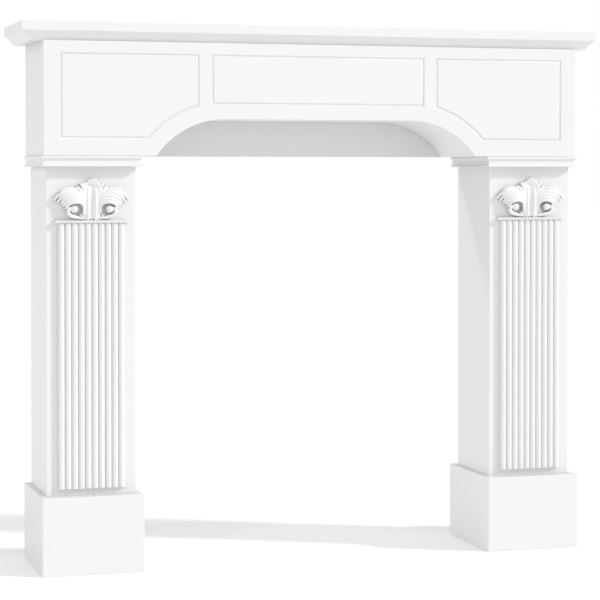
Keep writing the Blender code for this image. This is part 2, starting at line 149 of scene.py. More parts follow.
class ShaderTree:
    """A material's node tree with one way of making nodes."""

    def __init__(self, name: str) -> None:
        """Start a material with only its Principled shader.

        Args:
            name: the material's name.
        """
        self.material = bpy.data.materials.new(name)
        self.material.use_nodes = True
        self.nodes = self.material.node_tree.nodes
        self.shader = self.nodes["Principled BSDF"]

    def node(self, kind: str, settings: dict[str, Any], sockets: dict[Any, Any]) -> bpy.types.Node:
        """Make one node, set it up and feed its sockets.

        Args:
            kind: the node's type.
            settings: attributes that are set first.
            sockets: values or wires by input name or number.

        Returns:
            The new node.
        """
        made = self.nodes.new(kind)
        for key, value in settings.items():
            setattr(made, key, value)
        self.feed(made, sockets)
        return made

    def feed(self, node: bpy.types.Node, sockets: dict[Any, Any]) -> None:
        """Set or link a node's inputs.

        Args:
            node: the node.
            sockets: values or wires by input name or number.
        """
        for key, value in sockets.items():
            if isinstance(value, Wire):
                self.material.node_tree.links.new(value.socket, node.inputs[key])
            else:
                node.inputs[key].default_value = value

    def wire(
        self, kind: str, settings: dict[str, Any], sockets: dict[Any, Any], output: Any = 0
    ) -> Wire:
        """Make one node and carry one of its outputs.

        Args:
            kind: the node's type.
            settings: attributes that are set first.
            sockets: values or wires by input name or number.
            output: the output's name or number.

        Returns:
            The output as a wire.
        """
        return Wire(self, self.node(kind, settings, sockets).outputs[output])

    def place(self, stretch: Sequence[float]) -> Wire:
        """Object coordinates, stretched.

        Args:
            stretch: scale along X, Y and Z.

        Returns:
            The stretched coordinates.
        """
        at = self.wire("ShaderNodeTexCoord", {}, {}, "Object")
        return self.wire("ShaderNodeMapping", {}, {"Vector": at, "Scale": tuple(stretch)})

    def noise(self, at: Wire, scale: float, detail: float, roughness: float = 0.5) -> Wire:
        """Cloudy noise from 0 to 1.

        Args:
            at: the coordinates.
            scale: waves in a metre of those coordinates.
            detail: octaves.
            roughness: strength of the finer octaves.

        Returns:
            The noise.
        """
        sockets = {"Vector": at, "Scale": scale, "Detail": detail, "Roughness": roughness}
        return self.wire("ShaderNodeTexNoise", {}, sockets)

    def tint(self, share: Wire, low: Sequence[float], high: Sequence[float]) -> Wire:
        """Mix two colours.

        Args:
            share: 0 for the first colour and 1 for the second.
            low: the first colour.
            high: the second colour.

        Returns:
            The mixed colour.
        """
        sockets = {0: share, 6: (*low, 1.0), 7: (*high, 1.0)}
        return self.wire("ShaderNodeMix", {"data_type": "RGBA", "clamp_factor": True}, sockets, 2)

    def bump(self, height: Wire, distance: float) -> Wire:
        """Turn a height into a normal.

        Args:
            height: height from 0 to 1.
            distance: metres that a height of 1 stands for.

        Returns:
            The normal.
        """
        return self.wire("ShaderNodeBump", {}, {"Height": height, "Distance": distance})


@dataclass(frozen=True)
class SatinPaint:
    """Brushed and rubbed-down white satin paint."""

    name: str
    tone: Triple
    roughness: float = 0.42
    stroke: Stroke = Stroke.ALONG_X
    stroke_depth: float = 0.00010
    stipple_depth: float = 0.00004
    stroke_waves: float = 6.0
    stroke_octaves: float = 3.0
    stroke_grit: float = 0.6
    stipple_waves: float = 900.0
    stipple_octaves: float = 2.0
    cloud_waves: float = 5.0
    cloud_octaves: float = 3.0
    cloud_share: float = 0.6
    darkest: float = 0.975
    lightest: float = 1.015
    sheen_low: float = 0.05
    cloud_sheen: float = 0.06
    stipple_sheen: float = 0.05
    relief_unit: float = 0.001

    def make(self) -> bpy.types.Material:
        """Build the material.

        Returns:
            The material.
        """
        tree = ShaderTree(self.name)
        brushed = tree.place(self.stroke.value)
        strokes = tree.noise(brushed, self.stroke_waves, self.stroke_octaves, self.stroke_grit)
        plain = tree.place(UNSTRETCHED)
        stipple = tree.noise(plain, self.stipple_waves, self.stipple_octaves)
        clouds = tree.noise(plain, self.cloud_waves, self.cloud_octaves)
        shade = clouds * self.cloud_share + strokes * (1 - self.cloud_share)
        low = tuple(c * self.darkest for c in self.tone)
        high = tuple(min(1.0, c * self.lightest) for c in self.tone)
        relief = strokes * self.stroke_depth + stipple * self.stipple_depth
        base = self.roughness - self.sheen_low
        sockets = {
            "Base Color": tree.tint(shade, low, high),
            "Roughness": base + clouds * self.cloud_sheen + stipple * self.stipple_sheen,
            "Normal": tree.bump(relief * (1 / self.relief_unit), self.relief_unit),
        }
        tree.feed(tree.shader, sockets)
        return tree.material


@dataclass(frozen=True)
class StudioFloor:
    """Plain pale floor."""

    name: str = "studio_floor"
    low: Triple = (0.93, 0.93, 0.93)
    high: Triple = (0.95, 0.95, 0.95)
    roughness: float = 0.75
    cloud_waves: float = 0.8
    cloud_octaves: float = 2.0
    cloud_sheen: float = 0.05

    def make(self) -> bpy.types.Material:
        """Build the material.

        Returns:
            The material.
        """
        tree = ShaderTree(self.name)
        clouds = tree.noise(tree.place(UNSTRETCHED), self.cloud_waves, self.cloud_octaves)
        sockets = {
            "Base Color": tree.tint(clouds, self.low, self.high),
            "Roughness": self.roughness + clouds * self.cloud_sheen,
        }
        tree.feed(tree.shader, sockets)
        return tree.material


class Paintbox:
    """Every finish of the object, made once."""

    def __init__(self) -> None:
        """Make the finishes."""
        white, carved_white = (0.70, 0.70, 0.695), (0.72, 0.72, 0.715)
        self.level = SatinPaint("satin_paint_level", white).make()
        self.upright = SatinPaint("satin_paint_upright", white, stroke=Stroke.ALONG_Z).make()
        carved = SatinPaint("carving_paint", carved_white, 0.45, Stroke.DABBED, 0.00006, 0.00003)
        self.carving = carved.make()


class Blank:
    """A mesh that grows from an outline, ring by ring, or from a block."""

    def __init__(self) -> None:
        """Start an empty mesh."""
        self.mesh = bmesh.new()

    def outline(self, points: Iterable[Vector]) -> list[bmesh.types.BMVert]:
        """Draw a closed line.

        Args:
            points: its corners in order.

        Returns:
            Its vertices in order.
        """
        ring = [self.mesh.verts.new(point) for point in points]
        for first, second in zip(ring, ring[1:] + ring[:1]):
            self.mesh.edges.new((first, second))
        return ring

    def edges_of(self, ring: list[bmesh.types.BMVert]) -> list[bmesh.types.BMEdge]:
        """The edges of a closed ring."""
        return [self.mesh.edges.get(pair) for pair in zip(ring, ring[1:] + ring[:1])]

    def pull(
        self, ring: list[bmesh.types.BMVert], points: Iterable[Vector]
    ) -> list[bmesh.types.BMVert]:
        """Extrude a closed ring and set down its copy.

        Args:
            ring: the ring to pull.
            points: where its vertices go, in order.

        Returns:
            The new ring in the same order.
        """
        made = bmesh.ops.extrude_edge_only(self.mesh, edges=self.edges_of(ring))["geom"]
        fresh = {part for part in made if isinstance(part, bmesh.types.BMVert)}
        grown = []
        for vert in ring:
            others = (edge.other_vert(vert) for edge in vert.link_edges)
            grown.append(next(other for other in others if other in fresh))
        for vert, point in zip(grown, points):
            vert.co = point
        return grown

    def cap(self, ring: list[bmesh.types.BMVert]) -> None:
        """Close a ring with one face."""
        bmesh.ops.contextual_create(self.mesh, geom=self.edges_of(ring))

    def skin(self, rings: Sequence[Sequence[Vector]]) -> None:
        """Cap, pull and cap a row of equal rings.

        Args:
            rings: the rings' points, from one end to the other.
        """
        ring = self.outline(rings[0])
        self.cap(ring)
        for points in rings[1:]:
            ring = self.pull(ring, points)
        self.cap(ring)

    def block(self, low: Sequence[float], high: Sequence[float]) -> None:
        """Add a rectangular block.

        Args:
            low: its lowest corner.
            high: its highest corner.
        """
        start, end = Vector(low), Vector(high)
        made = bmesh.ops.create_cube(self.mesh, size=1.0)["verts"]
        bmesh.ops.scale(self.mesh, vec=end - start, verts=made)
        bmesh.ops.translate(self.mesh, vec=(start + end) / 2, verts=made)

    def face_towards(self, direction: Sequence[float]) -> bmesh.types.BMFace:
        """Find the face that looks in a direction and lies furthest along it.

        Args:
            direction: the way that it looks.

        Returns:
            The face.
        """
        aim = Vector(direction)
        self.mesh.normal_update()
        facing = [face for face in self.mesh.faces if face.normal.dot(aim) > FACING]
        return max(facing, key=lambda face: face.calc_center_median().dot(aim))

    def hollow(self, direction: Sequence[float], wall: float, depth: float) -> None:
        """Sink a rectangular hollow into one face.

        Args:
            direction: the way that the face looks.
            wall: thickness left round the hollow.
            depth: depth of the hollow.
        """
        face = self.face_towards(direction)
        bmesh.ops.inset_region(self.mesh, faces=[face], thickness=wall, use_even_offset=True)
        face = self.face_towards(direction)
        made = bmesh.ops.extrude_face_region(self.mesh, geom=[face])["geom"]
        moved = [part for part in made if isinstance(part, bmesh.types.BMVert)]
        bmesh.ops.translate(self.mesh, vec=-Vector(direction) * depth, verts=moved)
        bmesh.ops.delete(self.mesh, geom=[face], context="FACES_ONLY")

    def ease(
        self, radius: float, keep: Callable[[bmesh.types.BMEdge], bool] = lambda edge: True
    ) -> None:
        """Round the outer edges.

        Args:
            radius: size of the rounding.
            keep: says which of the sharp outer edges are rounded.
        """
        bmesh.ops.recalc_face_normals(self.mesh, faces=self.mesh.faces)
        sharp = [
            edge
            for edge in self.mesh.edges
            if len(edge.link_faces) == 2
            and edge.is_convex
            and edge.calc_face_angle(0.0) > SHARP_EDGE
            and keep(edge)
        ]
        bmesh.ops.bevel(
            self.mesh,
            geom=sharp,
            offset=radius,
            offset_type="OFFSET",
            segments=EASE_SEGMENTS,
            profile=0.5,
            affect="EDGES",
            material=-1,
            clamp_overlap=True,
        )


@dataclass
class Workshop:
    """Turns finished blanks into pieces of the object."""

    paints: Paintbox
    made: list[bpy.types.Object] = field(default_factory=list)

    def loose(self, name: str, blank: Blank) -> bpy.types.Object:
        """Make an object of a blank.

        Args:
            name: the object's name.
            blank: the mesh, which is used up.

        Returns:
            The object, linked to the scene.
        """
        bmesh.ops.remove_doubles(blank.mesh, verts=blank.mesh.verts, dist=MERGE_DISTANCE)
        bmesh.ops.recalc_face_normals(blank.mesh, faces=blank.mesh.faces)
        mesh = bpy.data.meshes.new(name)
        blank.mesh.to_mesh(mesh)
        blank.mesh.free()
        obj = bpy.data.objects.new(name, mesh)
        bpy.context.scene.collection.objects.link(obj)
        return obj

    def settle(self, obj: bpy.types.Object) -> None:
        """Bake an object's modifiers into its mesh."""
        graph = bpy.context.evaluated_depsgraph_get()
        mesh = bpy.data.meshes.new_from_object(obj.evaluated_get(graph), depsgraph=graph)
        obj.modifiers.clear()
        old = obj.data
        obj.data = mesh
        bpy.data.meshes.remove(old)

    def join(self, obj: bpy.types.Object, other: bpy.types.Object) -> None:
        """Unite two closed bodies into one.

        Args:
            obj: the body that stays.
            other: the body that is used up.
        """
        union = obj.modifiers.new("union", "BOOLEAN")
        union.operation = "UNION"
        union.solver = "EXACT"
        union.object = other
        self.settle(obj)
        bpy.data.objects.remove(other)

    def enter(
        self,
        obj: bpy.types.Object,
        node: str,
        slot: str,
        material: bpy.types.Material,
        sharp_angle: float = 36.0,
    ) -> None:
        """Shade a piece and let it stand for its CAD node.

        Args:
            obj: the piece.
            node: the CAD node that it replaces.
            slot: the record's material slot; not used.
            material: its finish.
            sharp_angle: edges over this many degrees stay sharp.
        """
        obj.data.materials.append(material)
        obj.data.shade_smooth()
        obj.data.set_sharp_from_angle(angle=math.radians(sharp_angle))
        normals = obj.modifiers.new("weighted_normals", "WEIGHTED_NORMAL")
        normals.keep_sharp = True
        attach(obj, BODY)
        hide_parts(node)
        self.made.append(obj)
        LOG.info("%s: %d faces", obj.name, len(obj.data.polygons))


def arc(centre: Point, radius: float, start: float, end: float, steps: int) -> list[Point]:
    """Points on an arc.

    Args:
        centre: its centre.
        radius: its radius.
        start: the first angle.
        end: the last angle.
        steps: number of chords.

    Returns:
        The points, both ends included.
    """
    angles = [start + (end - start) * i / steps for i in range(steps + 1)]
    return [(centre[0] + radius * math.cos(a), centre[1] + radius * math.sin(a)) for a in angles]


def eased(points: Sequence[Point], size: float) -> list[Point]:
    """Take the point off each real corner of an outline.

    Args:
        points: the outline.
        size: how far along each side the easing reaches.

    Returns:
        The outline with three points at each corner.
    """
    result = []
    count = len(points)
    for i, point in enumerate(points):
        here = Vector(point)
        before = Vector(points[i - 1]) - here
        after = Vector(points[(i + 1) % count]) - here
        if before.angle(-after) < REAL_CORNER:
            result.append(tuple(here))
            continue
        first = here + before.normalized() * size
        last = here + after.normalized() * size
        middle = (first + last) / 4 + here / 2
        result.extend(tuple(p) for p in (first, middle, last))
    return result


def upright(points: Iterable[Point], y: float) -> list[Vector]:
    """Stand a flat outline in the XZ plane at one depth."""
    return [Vector((x, y, z)) for x, z in points]


def level(points: Iterable[Point], z: float) -> list[Vector]:
    """Lay a flat outline in the XY plane at one height."""
    return [Vector((x, y, z)) for x, y in points]


@dataclass
class MantelShelf:
    """The shelf: a square-edged board over a slightly hollow slope."""

    shop: Workshop
    slope_height: float = 0.0205
    slope_run_end: float = 0.021
    slope_run_front: float = 0.0165
    hollow: float = 0.45
    steps: int = 12
    edge_round: float = 0.0011
    edge_band: float = 0.0005
    lip_run_end: float = 0.0007
    lip_run_front: float = 0.00042
    lip_drop: float = 0.00028
    joint: float = 0.00025

    def plan(self, inset: float, inset_front: float, z: float) -> list[Vector]:
        """The shelf's outline at one height.

        Args:
            inset: how far the ends are drawn in.
            inset_front: how far the front is drawn in.
            z: the height.

        Returns:
            The corners.
        """
        low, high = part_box("mantel_shelf")
        left, right, front = low.x + inset, high.x - inset, low.y + inset_front
        corners = [(left, high.y), (left, front), (right, front), (right, high.y)]
        return level(corners, z)

    def build(self) -> None:
        """Make the shelf."""
        low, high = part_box("mantel_shelf")
        step = low.z + self.slope_height
        rings = [self.plan(0.0, 0.0, high.z), self.plan(0.0, 0.0, step)]
        rings.append(self.plan(self.lip_run_end, self.lip_run_front, step - self.lip_drop))
        for i in range(1, self.steps + 1):
            share = i / self.steps
            drawn_in = share * (1 + self.hollow * (1 - share))
            z = step - self.slope_height * share - self.joint * (i == self.steps)
            run_end = self.lip_run_end + (self.slope_run_end - self.lip_run_end) * drawn_in
            run_front = self.lip_run_front + (self.slope_run_front - self.lip_run_front) * drawn_in
            rings.append(self.plan(run_end, run_front, z))
        blank = Blank()
        blank.skin(rings)
        band = step - self.edge_band
        blank.ease(self.edge_round, lambda edge: min(v.co.z for v in edge.verts) > band)
        shelf = self.shop.loose("shelf_board", blank)
        self.shop.enter(shelf, "mantel_shelf", "satin_paint", self.shop.paints.level)


@dataclass
class Frieze:
    """The deep box over the opening, with its arch, its lined panels and its back board."""

    shop: Workshop
    board: float = 0.018
    front_board: float = 0.022
    arch_radius: float = 0.198
    arch_rise: float = 0.083
    arch_foot: float = 0.3827
    arch_steps: int = 40
    groove_width: float = 0.007
    groove_depth: float = 0.0026
    centre_half: float = 0.256
    centre_rise: float = 0.0315
    panel_gap: float = 0.027
    end_margin: float = 0.0355
    top_margin: float = 0.0255
    bottom_margin: float = 0.0365
    arch_margin: float = 0.0365
    edge_round: float = 0.0004
    corner_ease: float = 0.0011
    hollow_ease: float = 0.0004
    groove_profile: tuple[Point, ...] = (
        (0.0, 0.0),
        (0.12, 0.05),
        (0.26, 0.24),
        (0.86, 0.92),
        (1.0, 1.0),
    )

    def __post_init__(self) -> None:
        """Read the frieze's place from the frame."""
        self.low, self.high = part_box("frieze")
        self.centre_z = self.low.z + self.arch_rise - self.arch_radius
        run = math.sqrt(self.arch_radius**2 - (self.arch_radius - self.arch_rise) ** 2)
        self.centre_x = self.arch_foot - run

    def arch(self, offset: float, bottom: float) -> list[Point]:
        """The cut-out from its right foot to its left foot.

        Args:
            offset: how far outside the real arch it runs.
            bottom: the height it starts at.

        Returns:
            The points.
        """
        radius = self.arch_radius + offset
        foot = math.asin((bottom - self.centre_z) / radius)
        right = arc((self.centre_x, self.centre_z), radius, foot, math.pi / 2, self.arch_steps)
        return right + [(-x, z) for x, z in reversed(right)]

    def front(self, inset: float) -> list[Point]:
        """The frieze's outline.

        Args:
            inset: how far the outline is drawn in.

        Returns:
            The points.
        """
        half, bottom, top = self.high.x - inset, self.low.z + inset, self.high.z - inset
        corners = [(-half, bottom), (-half, top), (half, top), (half, bottom)]
        return eased(corners + self.arch(inset, bottom), self.corner_ease)

    def cavity(self) -> list[Point]:
        """The hollow's outline.

        Returns:
            As many points as the front has.
        """
        half, bottom = self.high.x - self.board, self.low.z + self.board
        top = self.high.z - self.board
        corners = [(-half, bottom), (-half, top), (half, top), (half, bottom)]
        return eased(corners + self.arch(self.board, bottom), self.hollow_ease)

    def centre_panel(self, inset: float) -> list[Point]:
        """The middle panel's outline.

        Args:
            inset: how far the outline is drawn in.

        Returns:
            The points.
        """
        half = self.centre_half - inset
        bottom = self.low.z + self.arch_rise + self.centre_rise + inset
        top = self.high.z - self.top_margin - inset
        return [(-half, bottom), (half, bottom), (half, top), (-half, top)]

    def side_panel(self, inset: float, side: Side) -> list[Point]:
        """An outer panel's outline, whose inner lower corner follows the arch.

        Args:
            inset: how far the outline is drawn in.
            side: the side it is on.

        Returns:
            The points.
        """
        inner = self.centre_half + self.panel_gap + inset
        outer = self.high.x - self.end_margin - inset
        bottom = self.low.z + self.bottom_margin + inset
        top = self.high.z - self.top_margin - inset
        radius = self.arch_radius + self.arch_margin + inset
        start = math.asin((bottom - self.centre_z) / radius)
        end = math.acos((inner - self.centre_x) / radius)
        curve = arc((self.centre_x, self.centre_z), radius, start, end, self.arch_steps)
        points = [(outer, top), (outer, bottom)] + curve + [(inner, top)]
        return [(side.value * x, z) for x, z in points]

    def groove(
        self, blank: Blank, outline_at: Callable[[float], list[Point]]
    ) -> list[bmesh.types.BMEdge]:
        """Run a rounded V groove along a panel's outline and fill the panel.

        Args:
            blank: the frieze so far.
            outline_at: gives the outline for an inset.

        Returns:
            The groove's outer edges, for the front face to meet.
        """
        half, deep = self.groove_width / 2, self.groove_depth
        steps = [(half * a, deep * b) for a, b in self.groove_profile]
        steps += [(2 * half - a, b) for a, b in reversed(steps[:-1])]
        ring = blank.outline(upright(outline_at(0.0), self.low.y))
        outer = blank.edges_of(ring)
        for inset, depth in steps[1:]:
            ring = blank.pull(ring, upright(outline_at(inset), self.low.y + depth))
        blank.cap(ring)
        return outer

    def build_box(self) -> None:
        """Make the hollow box with its lined face."""
        blank = Blank()
        rounding = [
            (self.edge_round * (1 - math.sin(a)), self.edge_round * (1 - math.cos(a)))
            for a in (0.0, math.pi / 6, math.pi / 3, math.pi / 2)
        ]
        ring = blank.outline(upright(self.front(self.edge_round), self.low.y))
        edges = blank.edges_of(ring)
        for inset, depth in rounding[1:]:
            ring = blank.pull(ring, upright(self.front(inset), self.low.y + depth))
        ring = blank.pull(ring, upright(self.front(0.0), self.high.y))
        ring = blank.pull(ring, upright(self.cavity(), self.high.y))
        ring = blank.pull(ring, upright(self.cavity(), self.low.y + self.front_board))
        blank.cap(ring)
        edges += self.groove(blank, self.centre_panel)
        edges += self.groove(blank, lambda inset: self.side_panel(inset, Side.LEFT))
        edges += self.groove(blank, lambda inset: self.side_panel(inset, Side.RIGHT))
        bmesh.ops.triangle_fill(blank.mesh, use_beauty=True, use_dissolve=False, edges=edges)
        box = self.shop.loose("frieze_box", blank)
        self.shop.enter(box, "frieze", "satin_paint", self.shop.paints.level)

    def build_back(self) -> None:
        """Make the thin board that closes the arch recess."""
        low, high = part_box("arch_back_panel")
        outline = self.arch(-FIT, self.low.z)
        blank = Blank()
        blank.skin([upright(outline, low.y), upright(outline, high.y)])
        panel = self.shop.loose("arch_back_board", blank)
        self.shop.enter(panel, "arch_back_panel", "back_board_paint", self.shop.paints.level)

    def build(self) -> None:
        """Make both pieces."""
        self.build_box()
        self.build_back()


@dataclass(frozen=True)
class Flute:
    """One swept ridge of the carving.

    Each place holds, in millimetres, how far out and up it is, how far its crest stands proud, and
    half its width.
    """

    places: tuple[tuple[float, float, float, float], ...]
    mirrored: bool = True

    def at(self, share: float) -> Vector:
        """A place on the smooth curve through the places.

        Args:
            share: 0 at the first place and 1 at the last.

        Returns:
            The four values there.
        """
        spans = len(self.places) - 1
        index = min(int(share * spans), spans - 1)
        t = share * spans - index
        picks = [self.places[max(0, min(spans, index + k))] for k in (-1, 0, 1, 2)]
        a, b, c, d = (Vector(pick) for pick in picks)
        bend = a * 2 - b * 5 + c * 4 - d
        twist = b * 3 - a - c * 3 + d
        return (b * 2 + (c - a) * t + bend * t**2 + twist * t**3) / 2


STEM = (
    Flute(((0, 2, 8.6, 2.4), (0, 30, 9, 2.4), (0, 60, 9, 2.4), (0, 77, 9, 2.2)), False),
    Flute(((0, -0.4, 9, 3), (0, 8, 10, 2.8), (0, 17, 8.6, 2)), False),
    Flute(((3.2, 4, 9, 2.4), (3.2, 30, 9.6, 2.4), (3.2, 60, 9.6, 2.4), (3, 76, 9.5, 2.2))),
    Flute(((5.8, 2, 11, 2.4), (6.1, 30, 12.6, 2.4), (6.1, 58, 12.2, 2.4), (5.6, 76, 10.5, 2.2))),
    Flute(((8.4, -0.4, 11, 3.2), (8.2, 11, 14, 2.9), (8.8, 31, 15.5, 2.8),
           (8.8, 53, 14.5, 2.8), (8, 74, 12, 2.4))),
    Flute(((15.5, 0, 9, 3.2), (13, 10, 12, 2.8), (12.4, 31, 13.5, 2.6), (12.4, 50, 13.5, 2.8),
           (13.8, 66, 12.5, 3), (16, 80, 14, 3), (16.6, 85.5, 12.5, 2.6))),
    Flute(((18, 4, 8, 3), (16, 15, 11.5, 2.8), (15.4, 33, 13.5, 2.8), (15.4, 52, 13.5, 3.2),
           (18.4, 69, 14, 3.8), (23.4, 79.5, 15, 3.8), (25.6, 83, 13, 3.2))),
    Flute(((16.5, 13, 10, 2.8), (16.8, 27, 13, 3), (18, 43, 14.5, 3.6), (22, 59.5, 14.5, 4),
           (29, 70, 14, 4), (35, 75, 12, 3.2))),
)
PALMETTE = (
    Flute(((0, 77, 9, 6), (0, 84, 12.5, 8), (0, 90, 13.5, 7.5)), False),
    Flute(((2.2, 76, 10, 2.2), (2.8, 84, 15.5, 3), (3.4, 93, 19, 3.6))),
    Flute(((5.5, 76, 10, 2), (7.2, 84, 14.5, 2.8), (8.8, 90.4, 17.5, 3.4))),
    Flute(((8.6, 73, 11, 2.2), (10.6, 80, 13, 2.6), (12.6, 86, 14.5, 2.6))),
)
SIDE_LEAF = (
    Flute(((17, 26, 14, 2.6), (21.5, 35, 18, 3), (30, 40, 21, 3.4), (40, 40.2, 22.5, 3.6),
           (49.5, 37.2, 21.5, 3.6), (56.6, 31.2, 18.5, 3.2), (60.4, 25, 14, 2.4))),
    Flute(((16, 32, 13.5, 3.2), (21, 41.5, 17, 3.7), (31, 47.2, 20, 3.8), (43, 47, 21.5, 3.9),
           (54, 42.6, 20, 3.8), (61.6, 36, 16, 3.4), (65, 30.5, 11, 2.8))),
    Flute(((15.8, 38, 13, 3), (20.5, 47.6, 16, 3.7), (31, 54, 18.5, 3.9), (44.5, 54.2, 20, 4),
           (57, 50, 19, 3.9), (65.6, 42.8, 15, 3.5), (70, 35.4, 9, 3))),
    Flute(((16.5, 44, 12.5, 3), (22, 54, 15, 3.7), (32.5, 60.4, 17, 3.9), (46, 61.2, 18.5, 4),
           (59.5, 57, 18, 3.9), (69.8, 49.8, 15, 3.5), (75.6, 41.8, 10, 3.2), (76.6, 38, 7, 2.8))),
    Flute(((32, 62, 12, 2.8), (42, 65.6, 14, 3.4), (54, 65.4, 15.5, 3.5), (65.6, 61.4, 15.5, 3.5),
           (75.4, 55, 13, 3.3), (81.4, 48, 9.5, 3), (82.2, 43, 7, 2.6))),
    Flute(((26, 62, 11, 3.2), (36, 68.4, 13.5, 4), (48, 70, 15, 4.2), (59, 69.4, 15.5, 4),
           (66.5, 66, 14, 3.8), (70.5, 61.8, 10, 3.2))),
)
GROUND = (
    Flute(((0, 2, 7, 9), (0, 30, 7.5, 10), (0, 60, 7.5, 12),
           (0, 80, 8.5, 12), (0, 87, 8, 8)), False),
    Flute(((12, 40, 9, 6), (17, 62, 9.5, 8), (22, 73, 9.5, 7))),
    Flute(((11, 60, 10, 5), (11, 76, 11, 5.5), (13, 84, 11.5, 4))),
    Flute(((26, 52, 11, 8), (40, 56, 12, 9), (54, 54, 11.5, 8), (66, 50, 8, 6))),
)
LEAFLETS = (
    Flute(((13, 25, 12, 1.5), (18, 28.8, 15, 1.8), (22.6, 31.2, 15, 1.1))),
    Flute(((12, 20.5, 12, 1.5), (17.4, 24.2, 15, 1.8), (22, 26.4, 15, 1.1))),
    Flute(((12.5, 15, 12, 1.5), (18, 19.4, 15, 1.8), (22.8, 21.6, 14.5, 1.1))),
    Flute(((14, 10.5, 11, 1.5), (20, 14.8, 14, 1.8), (25.4, 17, 13.5, 1.1))),
    Flute(((17, 7, 10, 1.5), (23.5, 10.6, 13.5, 1.8), (29.6, 13, 12.5, 1.1))),
)
VOLUTE = (
    Flute(((15, 3.4, 8, 3), (26, 5.4, 11, 3.7), (38, 7.6, 13.5, 4.2), (48, 10.8, 15.5, 4.6),
           (53.6, 17.4, 17, 4.5), (52.8, 24, 18, 4), (49.2, 28.6, 18.2, 3.2))),
    Flute(((31.6, 24.6, 15, 4), (34.2, 24.8, 17.8, 7.2), (38.4, 25, 19.4, 8.6),
           (42.2, 25, 19.4, 8.6), (46, 24.8, 17.8, 7.4), (49, 24.4, 16, 5))),
)
FLUTES = GROUND + STEM + PALMETTE + SIDE_LEAF + LEAFLETS + VOLUTE


@dataclass
class Acanthus:
    """The carved ornament: a fluted stem and palmette between leaves that curl over volutes."""

    shop: Workshop
    voxel: float = 0.00072
    sides: int = 14
    step: float = 0.0016
    passes: int = 3
    softness: float = 0.5
    foot: float = 0.7
    nearby: float = 0.01
    end_start: float = 0.44
    end_length: float = 0.06
    end_swell: float = 0.05
    end_taper: float = 0.9
    end_height: float = 0.55
    fewest_steps: int = 8
    sharp_angle: float = 70.0
    carved: bpy.types.Mesh | None = None

    def ring(self, flute: Flute, share: float, sign: int) -> list[Vector]:
        """The section of a flute at one place, round above and drawn in at its flat foot.

        Args:
            flute: the flute.
            share: how far along it.
            sign: 1, or -1 for its mirror image.

        Returns:
            The section's points.
        """
        x, z, crest, half = flute.at(share) / 1000
        after, before = min(1.0, share + self.nearby), max(0.0, share - self.nearby)
        ahead = flute.at(after) - flute.at(before)
        across = Vector((-ahead[1], ahead[0])).normalized()
        end = max(0.0, (abs(share - 0.5) - self.end_start) / self.end_length)
        swell = math.sqrt(max(self.end_swell, 1 - end**2 * self.end_taper))
        top = crest * (self.end_height + (1 - self.end_height) * swell)
        dome = min(half * swell, top)
        points = []
        for k in range(self.sides):
            turn = 2 * math.pi * (k + 0.5) / self.sides
            above = math.sin(turn) > 0
            reach = half * swell * math.cos(turn) * (1.0 if above else self.foot)
            height = top - dome * (1 - math.sin(turn)) if above else 0.0
            points.append(Vector((sign * (x + across.x * reach), -height, z + across.y * reach)))
        return points

    def carve(self) -> bpy.types.Mesh:
        """Sweep every flute, and merge them into one smooth closed body.

        Returns:
            The mesh, standing on the ground plane with its middle at X = 0.
        """
        blank = Blank()
        for flute in FLUTES:
            pairs = zip(flute.places, flute.places[1:])
            length = sum((Vector(a[:2]) - Vector(b[:2])).length for a, b in pairs)
            count = max(self.fewest_steps, round(length / 1000 / self.step))
            for sign in (1, -1) if flute.mirrored else (1,):
                blank.skin([self.ring(flute, i / count, sign) for i in range(count + 1)])
        obj = self.shop.loose("acanthus_rough", blank)
        merge = obj.modifiers.new("merge", "REMESH")
        merge.mode = "VOXEL"
        merge.voxel_size = self.voxel
        soften = obj.modifiers.new("soften", "SMOOTH")
        soften.factor = self.softness
        soften.iterations = self.passes
        self.shop.settle(obj)
        mesh = obj.data
        bpy.data.objects.remove(obj)
        return mesh

    def build(self, side: Side, centre_x: float) -> None:
        """Plant an ornament on one pilaster.

        Args:
            side: the side it is on.
            centre_x: the pilaster's centre line.
        """
        if self.carved is None:
            self.carved = self.carve()
        node = f"{side.prefix}_ornament"
        low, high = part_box(node)
        mesh = self.carved.copy()
        mesh.transform(Matrix.Translation((centre_x, high.y, low.z)))
        obj = bpy.data.objects.new(f"{side.prefix}_acanthus", mesh)
        bpy.context.scene.collection.objects.link(obj)
        paint = self.shop.paints.carving
        self.shop.enter(obj, node, "carving_paint", paint, self.sharp_angle)


